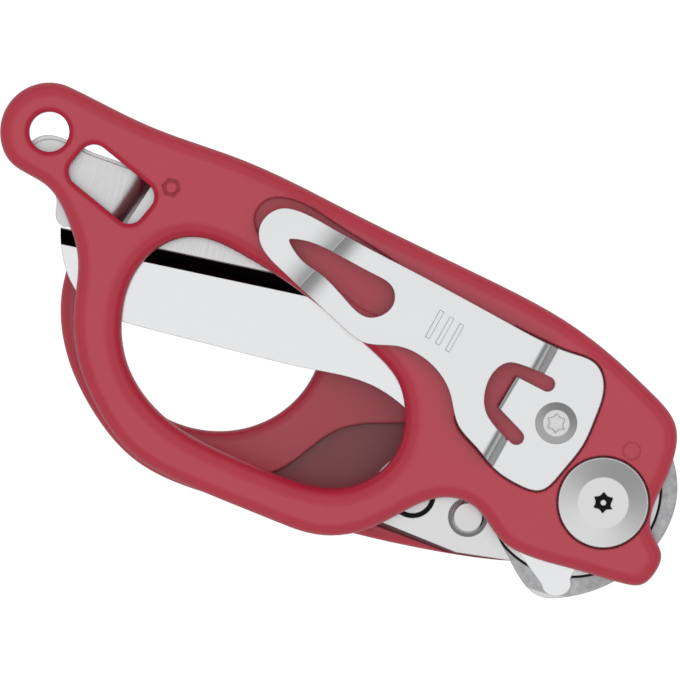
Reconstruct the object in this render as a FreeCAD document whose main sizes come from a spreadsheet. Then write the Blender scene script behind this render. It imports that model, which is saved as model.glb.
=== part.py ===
"""Folding rescue shears, folded flat: two moulded handles and two blades on one pivot.

Millimetres, +Z up. The origin is on the pivot axis at the resting face of the rear handle, and -X
runs from the pivot to the lanyard hole. From the bottom the layers are: rear handle, rear blade,
front blade, front handle, pocket clip. The front handle's lock parts are the rear ones turned half
a turn about a line between the blades, so each is drawn once.
"""
import FreeCAD, Part
import os
import Sketcher
from math import atan2, cos, hypot, radians, sin, tan

Vector = FreeCAD.Vector
doc = FreeCAD.newDocument("rescue_shears")

# ---------------------------------------------------------------- driving dimensions
SIZES = [
    # alias, value, meaning
    ("reach", 105.6, "pivot axis to lanyard hole"),
    ("handle_thick", 8.0, "thickness of each moulded handle"),
    ("handle_round", 2.3, "rounding of a handle's outer edges"),
    ("loop_round", 2.9, "rounding of the finger loop's edge"),
    ("face_round", 1.8, "rounding of the rear handle's edges beside the blades"),
    ("inner_round", 0.7, "rounding of a handle's edges beside the blades"),
    ("blade_thick", 2.4, "thickness of each blade"),
    ("blade_gap", 0.05, "running gap between the blades"),
    ("washer_thick", 0.3, "thickness of the pivot washers"),
    ("bevel_wide", 2.6, "width of a blade's ground bevel"),
    ("edge_thick", 0.5, "blade thickness left at the cutting edge"),
    ("tooth_pitch", 1.3, "spacing of the rear blade's serrations"),
    ("tooth_deep", 0.35, "depth of the serrations"),
    ("pad_rise", 1.5, "height of the blunt tip pad above its blade"),
    ("pad_ramp", 3.8, "length of the rounded ramp from the tip pad to the blade"),
    ("pivot_rad", 2.5, "radius of the pivot screw's shank"),
    ("run_gap", 0.05, "radial clearance of running fits"),
    ("seat_gap", 0.02, "clearance of pieces fixed to each other"),
    ("disc_rad", 7.1, "radius of the pivot screw's head"),
    ("disc_flat_rad", 4.0, "radius of the head's raised flat"),
    ("disc_thick", 1.8, "height of the pivot screw's head"),
    ("disc_slope", 0.5, "fall of the head from its flat to its rim"),
    ("disc_edge", 0.15, "width of the step at the head's rim"),
    ("disc_sunk", 1.65, "depth of the head's seat in the handle"),
    ("disc_gap", 0.35, "gap round the pivot head and nut"),
    ("nut_rad", 6.0, "radius of the pivot nut's flange"),
    ("nut_thick", 1.6, "thickness of the pivot nut"),
    ("nut_sunk", 1.9, "depth of the nut's seat in the rear handle"),
    ("nut_slot_far", 4.4, "pivot axis to the nut's key holes"),
    ("nut_slot_rad", 0.6, "radius of the nut's key holes"),
    ("nut_slot_deep", 0.7, "depth of the nut's key holes"),
    ("shank_short", 0.6, "height at which the pivot screw's shank ends"),
    ("bush_rad", 4.0, "outer radius of the handle bushes"),
    ("washer_rad", 6.4, "outer radius of the washers"),
    ("plate_thick", 1.4, "thickness of the lock plates"),
    ("plate_gap", 0.1, "clearance round the front lock plate in its seat"),
    ("plate_end_rad", 6.5, "radius of a lock plate's far end"),
    ("plate_hub_rad", 6.6, "radius of a lock plate round the pivot"),
    ("button_far", 21.5, "pivot axis to lock button"),
    ("button_turn", 220.3, "angle of the rear lock button about the pivot"),
    ("button_turn_front", 150.0, "angle of the front lock button about the pivot"),
    ("button_rad", 2.5, "radius of a lock button"),
    ("button_hole_rad", 3.1, "radius of its hole in the plate"),
    ("button_stop", 0.12, "gap between the rear button and the tang that stops on it"),
    ("button_proud", 2.1, "height of a button above its plate"),
    ("crown", 0.25, "chamfer round a button's top"),
    ("flange_rad", 3.7, "radius of the button's flange"),
    ("flange_thick", 1.1, "thickness of the button's flange"),
    ("well_rad", 3.95, "radius of the spring well"),
    ("well_floor", 2.0, "handle wall left under the spring well"),
    ("coil_rad", 2.6, "mean radius of a lock spring"),
    ("wire_rad", 0.18, "radius of the spring wire"),
    ("coil_turns", 3.0, "turns in a lock spring"),
    ("screw_past", 8.64, "lock plate screw beyond the button, from the pivot"),
    ("screw_lag", 8.5, "angle of the plate screw before the button"),
    ("plate_head_rad", 2.85, "radius of a plate screw's head"),
    ("plate_head_thick", 0.8, "height of a plate screw's head"),
    ("plate_ring_rad", 3.6, "radius of the ring cut round that head"),
    ("thread_rad", 1.5, "radius of the small screws' shanks"),
    ("thread_gap", 0.1, "clearance of those shanks in the plates and the clip"),
    ("plate_screw_long", 3.6, "length of a plate screw's shank"),
    ("clip_screw_long", 4.4, "length of the clip screw's shank"),
    ("insert_rad", 2.4, "radius of the brass inserts"),
    ("insert_long", 4.2, "depth of the brass inserts' holes"),
    ("insert_low", 0.1, "gap under an insert in its hole"),
    ("clip_thick", 1.2, "thickness of the pocket clip"),
    ("clip_sunk", 1.1, "depth of the clip base's seat"),
    ("clip_scoop", 0.9, "depth of the scoop under the clip's tip"),
    ("clip_fit", 0.35, "clearance round the clip's base in its seat"),
    ("clip_lift", 1.9, "height the clip's arm steps up"),
    ("clip_touch", 0.12, "gap between the clip's crease and the handle"),
    ("fold_inner", 0.3, "inside rounding at the top of the clip's step"),
    ("tongue_round", 1.1, "rounding of the tongue's end"),
    ("clip_turn", 4.8, "lean of the clip's step"),
    ("crease_turn", 8.8, "lean of the clip's crease, the other way"),
    ("step_foot", 18.1, "pivot axis to the foot of the clip's step"),
    ("step_run", 1.5, "length of the clip's step"),
    ("crease_far", 58.6, "pivot axis to the clip's crease"),
    ("crease_fall", 4.6, "length of the bend that falls to the crease"),
    ("crease_rise", 5.0, "length of the bend that rises from it"),
    ("tip_steep", 15.0, "rise of the clip's tip at the crease, in degrees"),
    ("tip_flat", 4.0, "rise of the clip's tip at its end, in degrees"),
    ("bar_long", 4.8, "length of the bars engraved on the clip"),
    ("bar_wide", 0.7, "width of those bars"),
    ("bar_step", 1.9, "spacing of those bars"),
    ("engraved", 0.15, "depth of the marks"),
    ("mark_rad", 1.5, "outer radius of the bolt head mark"),
    ("mark_hollow", 1.0, "inner radius of the bolt head mark"),
    ("gate_rad", 1.4, "radius of the mould gate's mark"),
    ("clip_screw_x", -13.2, "clip screw position"),
    ("clip_screw_y", 6.3, "clip screw position"),
    ("clip_head_rad", 3.33, "radius of the clip screw's head"),
    ("clip_head_thick", 1.5, "height of the clip screw's head"),
    ("clip_dome", 0.9, "height of that head's cone"),
    ("clip_dome_run", 1.2, "width of that head's cone"),
    ("star_rad", 1.5, "outer radius of the star sockets"),
    ("star_extra", 0.15, "how much larger the pivot's socket is"),
    ("star_deep", 1.1, "depth of the star sockets"),
    ("star_pin_rad", 0.46, "radius of the pin in the pivot's socket"),
    ("star_pin_drop", 0.1, "depth of that pin's top"),
    ("tail_rad", 7.8, "radius of the handle's tail"),
    ("lanyard_rad", 3.2, "radius of the lanyard hole"),
    ("wrench_long", 14.1, "length of the gas bottle wrench slot"),
    ("wrench_wide", 7.3, "width of the wrench slot"),
    ("wrench_corner", 2.4, "corner radius of the wrench slot"),
    ("hole_break", 0.7, "chamfer on the slot and lanyard hole"),
]

sheet = doc.addObject("Spreadsheet::Sheet", "Sizes")
for row, (alias, value, meaning) in enumerate(SIZES, start=1):
    sheet.set(f"A{row}", meaning)
    sheet.set(f"B{row}", str(value))
    sheet.setAlias(f"B{row}", alias)
doc.recompute()


def size(alias):
    """The present value of one cell."""
    return float(sheet.get(alias))


def bind(thing, **formulas):
    """Bind properties to formulas; a double underscore in a name stands for a dot."""
    for path, formula in formulas.items():
        thing.setExpression(path.replace("__", "."), cells(formula))


def cells(formula):
    """Put the sheet's name before each alias in a formula."""
    words = formula.replace("(", " ( ").replace(")", " ) ").split()
    aliases = {alias for alias, _, _ in SIZES}
    return " ".join("Sizes." + word if word in aliases else word for word in words)


# Heights of the layers, from the resting face up.
REAR_BLADE_Z = "handle_thick + washer_thick"
FRONT_BLADE_Z = REAR_BLADE_Z + " + blade_thick + blade_gap"
FRONT_Z = FRONT_BLADE_Z + " + blade_thick + washer_thick"
TOP_Z = FRONT_Z + " + handle_thick"


def number(formula):
    """Work a sum of cells out as a number."""
    total, sign = 0.0, 1
    for word in formula.split():
        if word in "+-":
            sign = 1 if word == "+" else -1
        else:
            total += sign * (float(word) if word[0].isdigit() else size(word))
    return total


# ---------------------------------------------------------------- places in the plan
NOMINAL_REACH = 105.6
LOCKS_END = -32.0    # right of this the handles and tangs keep their shape at any reach
ARM_SPLIT = -43.0    # where the clip's step piece and tip piece overlap on the level arm
WIDE = 60.0          # width of strips and cutters that run past the clip's outline
WEDGE_LEAD, WEDGE_RUN = 8.0, -2.0    # a grinding wedge starts before the edge and stops short of its end
WEDGE_OVER, WEDGE_TALL = 3.0, 2.0    # how far it stands out beyond the edge and off the flat
NEAR = 0.01          # how close a found edge lies to where it is looked for
STAR_HOLLOW = 0.74   # radius of a star socket's hollows as a share of its lobes'
GATE = (-0.8, 9.3)   # mark of the mould's gate on the front handle
WRENCH_SLOT, WRENCH_TURN = (-92.8, -1.4), -5.3      # middle and lean of the wrench slot
WRENCH_MARK, MARK_TURN = (-84.6, 3.4), 20.0         # bolt head engraved beside it
SEAT_END = ((-27.2, 15.5), (-27.2, -1.9))           # left end of the clip base's seat
PAD_CREST = -91.3    # where the rear blade's tip pad starts to fall
BARS_MIDDLE = (-36.0, 8.6)                          # middle one of the clip's bars


def station(x, y):
    """A point of an outline. Left of the locks, its x is stretched with the reach."""
    stretch = (size("reach") + LOCKS_END) / (NOMINAL_REACH + LOCKS_END)
    return Vector(LOCKS_END + (x - LOCKS_END) * stretch if x < LOCKS_END else x, y, 0)


def polar(far, turn, centre=(0, 0)):
    return Vector(centre[0] + far * cos(radians(turn)), centre[1] + far * sin(radians(turn)), 0)


REAR_BUTTON = polar(size("button_far"), size("button_turn"))
SCREW_FAR = size("button_far") + size("screw_past")
REAR_SCREW = polar(SCREW_FAR, size("button_turn") - size("screw_lag"))
FRONT_BUTTON = polar(size("button_far"), size("button_turn_front"))
FRONT_SCREW = polar(SCREW_FAR, size("button_turn_front") + size("screw_lag"))
FLIP_TURN = (size("button_turn") + size("button_turn_front")) / 2
FLIP = FreeCAD.Placement(
    Vector(0, 0, number(TOP_Z)),
    FreeCAD.Rotation(Vector(cos(radians(FLIP_TURN)), sin(radians(FLIP_TURN)), 0), 180),
)


# ---------------------------------------------------------------- drawing helpers
def chain(points):
    """Straight edges through points."""
    return [Part.LineSegment(a, b) for a, b in zip(points, points[1:])]


def closed_chain(points):
    return chain(points + points[:1])


def smooth(points):
    """One smooth curve through points."""
    curve = Part.BSplineCurve()
    curve.interpolate(points)
    return curve


def smooth_loop(points):
    """One smooth closed curve through points."""
    curve = Part.BSplineCurve()
    curve.interpolate(Points=points, PeriodicFlag=True)
    return curve


def arc(centre, rad, start, end):
    """A counter-clockwise arc between two angles in degrees."""
    circle = Part.Circle(centre, Vector(0, 0, 1), rad)
    return Part.ArcOfCircle(circle, radians(start), radians(end))


def new_body(name):
    body = doc.addObject("PartDesign::Body", name)
    body.Label = name
    return body


def plane(body, role="XY_Plane"):
    return next(f for f in body.Origin.OriginFeatures if f.Role == role)


def sketch(body, name, edges, height="0", role="XY_Plane"):
    drawn = body.newObject("Sketcher::SketchObject", name)
    drawn.AttachmentSupport = (plane(body, role), [""])
    drawn.MapMode = "FlatFace"
    bind(drawn, AttachmentOffset__Base__z=height)
    for edge in edges:
        drawn.addGeometry(edge, False)
    return drawn


def pad(body, name, edges, length, height="0", role="XY_Plane", midplane=False):
    feature = body.newObject("PartDesign::Pad", name)
    feature.Profile = sketch(body, name + "_sketch", edges, height, role)
    feature.Midplane = midplane
    bind(feature, Length=length)
    doc.recompute()
    return feature


def pocket(body, name, edges, depth, height, upward=False):
    """Cut down from a height, or up from it. A cut that meets the solid adds faces to it."""
    before = len(body.Shape.Faces)
    feature = body.newObject("PartDesign::Pocket", name)
    feature.Profile = sketch(body, name + "_sketch", edges, height)
    feature.Reversed = upward
    bind(feature, Length=depth)
    doc.recompute()
    if len(body.Shape.Faces) <= before:
        raise RuntimeError(name + " cuts nothing")
    return feature


def hole(body, name, centre, rad, depth, height, upward=False):
    """A round pocket whose radius is bound to the sheet."""
    circle = [Part.Circle(centre, Vector(0, 0, 1), number(rad))]
    feature = pocket(body, name, circle, depth, height, upward)
    drawn = feature.Profile[0]
    drawn.addConstraint(Sketcher.Constraint("Radius", 0, number(rad)))
    drawn.setExpression("Constraints[0]", cells(rad))
    doc.recompute()
    return feature


def edges_at(shape, height, longer_than=0.0, shorter_than=1e9):
    """Names of the edges that lie flat at a height and whose length is in a range."""
    names = []
    for index, edge in enumerate(shape.Edges, start=1):
        box = edge.BoundBox
        flat = abs(box.ZMin - height) < 1e-4 and abs(box.ZMax - height) < 1e-4
        if flat and longer_than < edge.Length < shorter_than:
            names.append(f"Edge{index}")
    return names


def round_edges(body, name, names, rad, kind="Fillet"):
    base = body.Tip
    feature = body.newObject("PartDesign::" + kind, name)
    feature.Base = (base, names)
    bind(feature, **{"Radius" if kind == "Fillet" else "Size": rad})
    doc.recompute()
    return feature


def cylinder(name, rad, height, centre=None, base="0"):
    solid = doc.addObject("Part::Cylinder", name)
    centre = centre or Vector()
    solid.Placement.Base = Vector(centre.x, centre.y, 0)
    bind(solid, Radius=rad, Height=height, Placement__Base__z=base)
    return solid


def cone(name, low_rad, high_rad, height, centre=None, base="0"):
    solid = doc.addObject("Part::Cone", name)
    centre = centre or Vector()
    solid.Placement.Base = Vector(centre.x, centre.y, 0)
    bind(solid, Radius1=low_rad, Radius2=high_rad, Height=height, Placement__Base__z=base)
    return solid


def fuse(name, *solids):
    joined = doc.addObject("Part::MultiFuse", name)
    joined.Shapes = list(solids)
    joined.Refine = True
    return joined


def cut(name, base, tool):
    result = doc.addObject("Part::Cut", name)
    result.Base = base
    result.Tool = tool
    result.Refine = True
    return result


def common(name, base, tool):
    result = doc.addObject("Part::Common", name)
    result.Base = base
    result.Tool = tool
    return result


def slab(name, edges, length, height):
    """A flat prism of an outline, used as a building block or a cutter."""
    body = new_body(name)
    pad(body, name + "_pad", edges, length, height)
    return body


def star_edges(centre, rad):
    """Outline of a six-lobed screw socket: lobes joined by hollow arcs."""
    points = []
    for step in range(12):
        far = rad if step % 2 == 0 else rad * STAR_HOLLOW
        points.append(polar(far, 30 * step, (centre.x, centre.y)))
    return [smooth_loop(points)]


NODES = []


def keep(thing, label):
    """Name a finished sub-part."""
    thing.Label = label
    NODES.append(thing)
    return thing


# ---------------------------------------------------------------- outlines
def tail_points():
    """The round tail about the lanyard hole."""
    centre = station(-NOMINAL_REACH, 0)
    return [polar(size("tail_rad"), turn, (centre.x, centre.y)) for turn in (100, 130, 160, 190, 220, 250)]


def front_outline():
    """The front handle, counter-clockwise from its tail along the finger loop to the pivot head."""
    lower = [(-101.4, -7.3), (-95.2, -10.1), (-90.7, -14.1), (-86.7, -21.2), (-81.6, -27.6),
             (-75.2, -32.0), (-66.4, -35.1), (-57.0, -34.5), (-42.2, -31.5), (-34.8, -29.4),
             (-29.1, -24.8), (-25.4, -18.6), (-22.4, -14.2), (-18.0, -11.9), (-14.6, -12.3),
             (-10.4, -13.9), (-6.0, -13.8), (2.8, -11.1)]
    head = [(9.6, -8.95), (12.3, -7.4), (13.0, -4.9), (12.2, -1.7), (8.9, 0.45),
            (7.2, 3.1), (6.4, 7.3), (5.2, 12.6), (2.9, 16.4)]
    back = [(-3.2, 18.7), (-10.2, 19.9), (-19.0, 20.6), (-34.6, 19.3), (-57.3, 16.2),
            (-78.3, 13.2), (-92.3, 9.7)]
    return [smooth_loop(tail_points() + [station(*p) for p in lower + head + back])]


def front_loop():
    """The front handle's finger loop."""
    points = [(-78.0, -1.6), (-80.9, -5.3), (-81.9, -11.0), (-79.4, -18.6), (-74.6, -23.9),
              (-68.0, -26.9), (-62.0, -27.6), (-51.5, -26.3), (-42.3, -24.3), (-36.2, -21.5),
              (-32.6, -17.0), (-31.6, -12.0), (-33.4, -6.5), (-37.4, -2.3), (-44.5, -0.3),
              (-56.7, 1.0), (-70.0, 0.8)]
    return [smooth_loop([station(*p) for p in points])]


def rear_outline():
    """The rear handle: a round thumb loop on an arm that runs to the pivot."""
    lower = [(-91.5, -16.0), (-88.4, -22.8), (-83.4, -28.2), (-75.7, -32.9), (-65.4, -35.8),
             (-57.0, -34.9), (-43.0, -30.4), (-30.2, -26.2), (-17.8, -21.3), (-6.9, -15.9),
             (0.6, -11.4)]
    hub = [(7.2, -7.4), (10.0, -1.5), (8.0, 6.0), (1.5, 10.2)]
    upper = [(-8.0, 11.4), (-25.0, 12.2), (-42.0, 13.4), (-58.0, 14.4), (-70.0, 14.0),
             (-80.0, 10.6), (-87.5, 3.0), (-91.4, -7.0)]
    return [smooth_loop([station(*p) for p in lower + hub + upper])]


def rear_loop():
    """The thumb loop: an ellipse."""
    centre, side, top = station(-67.4, -10.8), station(-49.3, -10.8), station(-67.4, 6.1)
    ellipse = Part.Ellipse(side, top, centre)
    return [ellipse]


FRONT_EDGE_TIP = (-95.8, -11.6)
FRONT_EDGE_HEEL = (-46.5, 8.1)
REAR_EDGE_TIP = (-95.4, -11.25)
REAR_EDGE_HEEL = (-31.0, 0.7)


def front_blade_outline():
    """The front blade: straight edge, cranked heel and a tang with one stop lobe."""
    heel = [FRONT_EDGE_HEEL, (-39.0, 9.9), (-31.0, 9.8), (-23.0, 8.3), (-16.0, 7.7),
            (-9.5, 10.6), (-1.5, 12.0), (4.0, 8.6), (6.0, 2.0), (4.2, -5.0), (2.4, -10.6), (2.5, -13.0)]
    lobe = [(2.5, -13.0), (3.2, -15.2), (1.6, -16.8), (-0.8, -16.2)]
    spine = [(-0.8, -16.2), (-6.7, -14.0), (-16.6, -10.2), (-26.5, -6.9), (-34.4, -5.0),
             (-40.5, -4.9), (-50.5, -8.3), (-65.0, -13.6), (-79.3, -18.6)]
    nose = [(-79.3, -18.6), (-84.2, -19.5), (-89.2, -18.1), (-93.2, -15.0), FRONT_EDGE_TIP]
    edges = chain([station(*FRONT_EDGE_TIP), station(*FRONT_EDGE_HEEL)])
    return edges + [smooth([station(*p) for p in run]) for run in (heel, lobe, spine, nose)]


def serrated(start, end):
    """A row of shallow teeth along a straight edge, as a list of points."""
    run = end.sub(start)
    count = int(run.Length // size("tooth_pitch"))
    inward = Vector(-run.y, run.x, 0).normalize() * size("tooth_deep")
    points = []
    for tooth in range(count):
        points.append(start + run * (tooth / count))
        points.append(start + run * ((tooth + 0.5) / count) + inward)
    return points + [end]


def rear_blade_outline():
    """The rear blade: blunt nose, serrated edge and a round tang that stops on its button."""
    teeth = chain(serrated(station(*REAR_EDGE_TIP), station(*REAR_EDGE_HEEL)))
    along = Vector(0.888, -0.459, 0)
    off = Vector(0.459, 0.888, 0) * (size("button_rad") + size("button_stop"))
    stop_start, stop_end = REAR_BUTTON + off - along * 4.96, REAR_BUTTON + off + along * 8.54
    heel = [station(*p) for p in (REAR_EDGE_HEEL, (-25.5, -0.6), (-21.8, -4.4))] + [stop_start]
    tang = [stop_end] + [Vector(x, y, 0) for x, y in
                         ((-4.2, -17.3), (-0.8, -18.1), (4.2, -15.2), (8.3, -9.9), (11.0, -0.6),
                          (9.6, 6.8), (5.4, 12.0), (-4.0, 14.4))]
    spine = [(-4.0, 14.4), (-16.0, 15.8), (-28.0, 16.8), (-42.0, 15.9), (-60.0, 11.4), (-80.0, 6.0),
             (-98.0, 1.15)]
    nose = [(-98.0, 1.15), (-103.2, 0.4), (-106.4, -1.2), (-107.3, -3.8), (-105.2, -6.3),
            (-101.4, -7.0), (-98.8, -8.3), (-97.5, -10.5), REAR_EDGE_TIP]
    runs = [heel, tang] + [[station(*p) for p in run] for run in (spine, nose)]
    return teeth + chain([stop_start, stop_end]) + [smooth(run) for run in runs]


def plate_outline(gap=0.0):
    """A lock plate: round at its screw, straight along the handle's back, round at the pivot."""
    end, hub = size("plate_end_rad") + gap, size("plate_hub_rad") + gap
    back = [(-14.9, -19.6 - gap), (-7.0, -15.9 - gap)]
    far = arc(REAR_SCREW, end, 120, 255)
    near = arc(Vector(), hub, -40, 110)
    lower = [far.EndPoint] + [Vector(x, y, 0) for x, y in back] + [near.StartPoint]
    return [far, near] + chain(lower) + chain([near.EndPoint, far.StartPoint])


def front_plate_recess():
    """The plate's outline turned over into the front handle, with clearance round it."""
    turned = []
    for edge in plate_outline(size("plate_gap")):
        shape = edge.toShape()
        shape.Placement = FreeCAD.Placement(Vector(), FLIP.Rotation)
        start, middle, end = (Vector(p.x, p.y, 0) for p in shape.discretize(3))
        straight = isinstance(edge, Part.LineSegment)
        turned.append(Part.LineSegment(start, end) if straight else Part.Arc(start, middle, end))
    return turned


def clip_outline():
    """The pocket clip seen from above."""
    points = [(-68.9, 4.9), (-69.6, 7.6), (-68.4, 10.2), (-65.4, 11.6), (-60.0, 12.2), (-45.0, 13.7),
              (-29.0, 15.2), (-22.0, 15.9), (-17.5, 16.8), (-13.0, 17.5), (-10.4, 15.6), (-8.6, 10.6),
              (-7.8, 6.0), (-8.2, 0.4), (-9.4, -3.9), (-13.0, -5.1), (-17.2, -5.1), (-21.4, -3.9),
              (-26.0, -2.5), (-29.8, 0.9), (-35.8, 3.2), (-41.0, 2.4), (-45.6, 0.0), (-50.0, 0.2),
              (-57.0, 1.3), (-63.1, 2.3)]
    return points


def clip_window():
    """The clip's tapered opening."""
    points = [(-64.3, 7.2), (-62.0, 8.3), (-56.0, 9.3), (-50.0, 9.9), (-46.6, 9.7), (-45.2, 8.0),
              (-45.4, 5.6), (-47.2, 3.7), (-51.4, 3.9), (-57.6, 5.2), (-63.0, 6.0)]
    return [smooth_loop([Vector(x, y, 0) for x, y in points])]


SLOT_UPPER_END, SLOT_LOWER_END, SLOT_END_RAD = (-17.8, 10.7), (-17.2, 0.95), 1.2


def clip_slot():
    """The C-shaped slot round the clip's tongue, drawn as its outer outline with round ends."""
    upper = arc(Vector(*SLOT_UPPER_END, 0), SLOT_END_RAD, -85, 95)
    lower = arc(Vector(*SLOT_LOWER_END, 0), SLOT_END_RAD, -95, 85)
    bow = [(-20.5, 11.5), (-22.7, 11.0), (-24.9, 10.0), (-25.9, 7.8), (-25.4, 4.3), (-23.8, 1.9),
           (-21.0, 0.5)]
    bend = smooth([upper.EndPoint] + [Vector(x, y, 0) for x, y in bow] + [lower.StartPoint])
    return [upper, bend, lower, Part.LineSegment(lower.EndPoint, upper.StartPoint)]


def clip_tongue():
    """The tongue that stays down in the handle."""
    corners = [(-17.0, 9.6), (-22.9, 8.9), (-22.6, 3.4), (-17.0, 2.15)]
    return closed_chain([Vector(x, y, 0) for x, y in corners])


def scoop_outline():
    """The scoop in the handle round the clip's tip and under its opening."""
    points = [(-71.4, 8.0), (-70.7, 10.6), (-68.0, 12.4), (-60.0, 13.2), (-50.0, 13.4), (-44.0, 11.5),
              (-43.0, 8.0), (-45.5, 5.0), (-54.0, 4.6), (-64.0, 4.2), (-69.5, 5.2)]
    return [smooth_loop([Vector(x, y, 0) for x, y in points])]


def grown(points, margin):
    """Closed outline moved outwards by a margin, along the normals of its neighbours' chords."""
    count = len(points)
    moved = []
    for index, (x, y) in enumerate(points):
        ahead, behind = points[(index + 1) % count], points[index - 1]
        run = hypot(ahead[0] - behind[0], ahead[1] - behind[1])
        normal = ((behind[1] - ahead[1]) / run, (ahead[0] - behind[0]) / run)
        moved.append(Vector(x + margin * normal[0], y + margin * normal[1], 0))
    return moved


# ---------------------------------------------------------------- handles
def lock_cuts(body, front):
    """Seats for the lock plate, button, spring, screw insert and pivot bush in one handle."""
    button, screw = (FRONT_BUTTON, FRONT_SCREW) if front else (REAR_BUTTON, REAR_SCREW)
    face = FRONT_Z if front else "handle_thick"
    floor = FRONT_Z + " + plate_thick" if front else "handle_thick - plate_thick"
    well = "handle_thick - plate_thick - well_floor"
    hole(body, "spring_well", button, "well_rad", well, floor, front)
    hole(body, "insert_hole", screw, "insert_rad + seat_gap", "insert_long", floor, front)
    hole(body, "bush_hole", Vector(), "bush_rad + seat_gap", "handle_thick", face, front)


def wrench_slot():
    """A rounded oblong across the tail, nearly in line with the handle."""
    long, wide, corner = size("wrench_long") / 2, size("wrench_wide") / 2, size("wrench_corner")
    centre = station(*WRENCH_SLOT)
    turn = FreeCAD.Rotation(Vector(0, 0, 1), WRENCH_TURN)
    middles = [(long - corner, wide - corner, 0), (corner - long, wide - corner, 90),
               (corner - long, corner - wide, 180), (long - corner, corner - wide, 270)]
    arcs = []
    for x, y, start in middles:
        at = centre + turn.multVec(Vector(x, y, 0))
        arcs.append(arc(at, corner, start + WRENCH_TURN, start + 90 + WRENCH_TURN))
    links = [Part.LineSegment(a.EndPoint, b.StartPoint) for a, b in zip(arcs, arcs[1:] + arcs[:1])]
    return arcs + links


def front_handle():
    body = new_body("front_handle")
    pad(body, "front_pad", front_outline() + front_loop(), "handle_thick", FRONT_Z)
    top, low = number(TOP_Z), number(FRONT_Z)
    round_edges(body, "loop_top_round", edges_at(body.Shape, top, 0, 200), "loop_round")
    round_edges(body, "front_top_round", edges_at(body.Shape, top, 200), "handle_round")
    round_edges(body, "front_low_round", edges_at(body.Shape, low, 50), "inner_round")
    tail = station(-NOMINAL_REACH, 0)
    hole(body, "lanyard_hole", tail, "lanyard_rad", "handle_thick", TOP_Z)
    pocket(body, "wrench_slot", wrench_slot(), "handle_thick", TOP_Z)
    rims = edges_at(body.Shape, top, 0, 45)
    round_edges(body, "rim_break", rims, "hole_break", "Chamfer")
    pocket(body, "clip_scoop_cut", scoop_outline(), "clip_scoop", TOP_Z)
    pocket(body, "clip_seat", clip_seat_outline(), "clip_sunk", TOP_Z)
    hole(body, "head_seat", Vector(), "disc_rad + disc_gap", "disc_sunk", TOP_Z)
    clip_screw = Vector(size("clip_screw_x"), size("clip_screw_y"), 0)
    hole(body, "clip_insert_hole", clip_screw, "insert_rad + seat_gap", "insert_long",
         TOP_Z + " - clip_sunk")
    pocket(body, "front_plate_seat", front_plate_recess(), "plate_thick", FRONT_Z, True)
    lock_cuts(body, True)
    marks = hexagon(size("mark_rad")) + hexagon(size("mark_hollow"))
    pocket(body, "wrench_mark", marks, "engraved + engraved", TOP_Z)
    hole(body, "gate_dimple", Vector(*GATE, 0), "gate_rad", "engraved", TOP_Z)
    return keep(body, "front_handle")


def hexagon(rad):
    """The outline of a bolt head beside the wrench slot."""
    centre = station(*WRENCH_MARK)
    return closed_chain([polar(rad, 60 * step + MARK_TURN, (centre.x, centre.y)) for step in range(6)])


def clip_seat_outline():
    """The deeper seat under the clip's base. It ends out of sight, left of the slot."""
    (end, upper), (_, lower) = SEAT_END
    base = [p for p in grown(clip_outline(), size("clip_fit")) if p.x > end]
    first, last = Vector(end, upper, 0), Vector(end, lower, 0)
    return [smooth([first] + base + [last]), Part.LineSegment(last, first)]


def rear_handle():
    body = new_body("rear_handle")
    pad(body, "rear_pad", rear_outline() + rear_loop(), "handle_thick")
    top = number("handle_thick")
    round_edges(body, "rear_low_round", edges_at(body.Shape, 0), "handle_round")
    round_edges(body, "rear_top_round", edges_at(body.Shape, top), "face_round")
    lip = [(-47.6, -26.6), (-44.6, -22.2), (-41.6, -14.2), (-37.4, -9.9), (-33.0, -6.8), (-30.5, 0.0)]
    beyond = [Vector(-30.5, 20, 0), Vector(16, 20, 0), Vector(16, -30, 0), Vector(-14.2, -30, 0)]
    wall = [(-14.2, -19.9), (-20.0, -21.3), (-27.0, -22.9), (-38.0, -25.4), (-47.6, -26.6)]
    edges = [smooth([station(*p) for p in lip]), smooth([station(*p) for p in wall])]
    link = [station(*lip[-1])] + beyond + [station(*wall[0])]
    pocket(body, "rear_plate_pocket", edges + chain(link), "plate_thick", "handle_thick")
    lock_cuts(body, False)
    hole(body, "nut_seat", Vector(), "nut_rad + disc_gap", "nut_sunk", "0", True)
    return keep(body, "rear_handle")


# ---------------------------------------------------------------- blades
def bevel(name, tip, heel, base, thick, above):
    """A long wedge that grinds a bevel along a straight edge, from the flat down to the edge."""
    start, end = station(*tip), station(*heel)
    along = end.sub(start).normalize()
    inward = Vector(along.y, -along.x, 0) * (1 if above else -1)
    wide, left = size("bevel_wide"), size("edge_thick")
    rise = (thick - left) / wide
    face = 1 if above else -1
    foot = base + thick if above else base
    corner = [(wide, 0.0), (-WEDGE_OVER, -face * rise * (wide + WEDGE_OVER)),
              (-WEDGE_OVER, face * WEDGE_TALL), (wide, face * WEDGE_TALL)]
    corners = [start - along * WEDGE_LEAD + inward * u + Vector(0, 0, foot + w) for u, w in corner]
    face_shape = Part.Face(Part.makePolygon(corners + corners[:1]))
    solid = doc.addObject("Part::Feature", name)
    solid.Shape = face_shape.extrude(along * (end.sub(start).Length + WEDGE_LEAD + WEDGE_RUN))
    return solid


def front_blade():
    body = slab("front_blade_blank", front_blade_outline(), "blade_thick", FRONT_BLADE_Z)
    hole(body, "front_blade_bore", Vector(), "pivot_rad + run_gap", "blade_thick",
         FRONT_BLADE_Z + " + blade_thick")
    wedge = bevel("front_grind", FRONT_EDGE_TIP, FRONT_EDGE_HEEL, number(FRONT_BLADE_Z),
                  size("blade_thick"), True)
    return keep(cut("front_blade", body, wedge), "front_blade")


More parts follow.
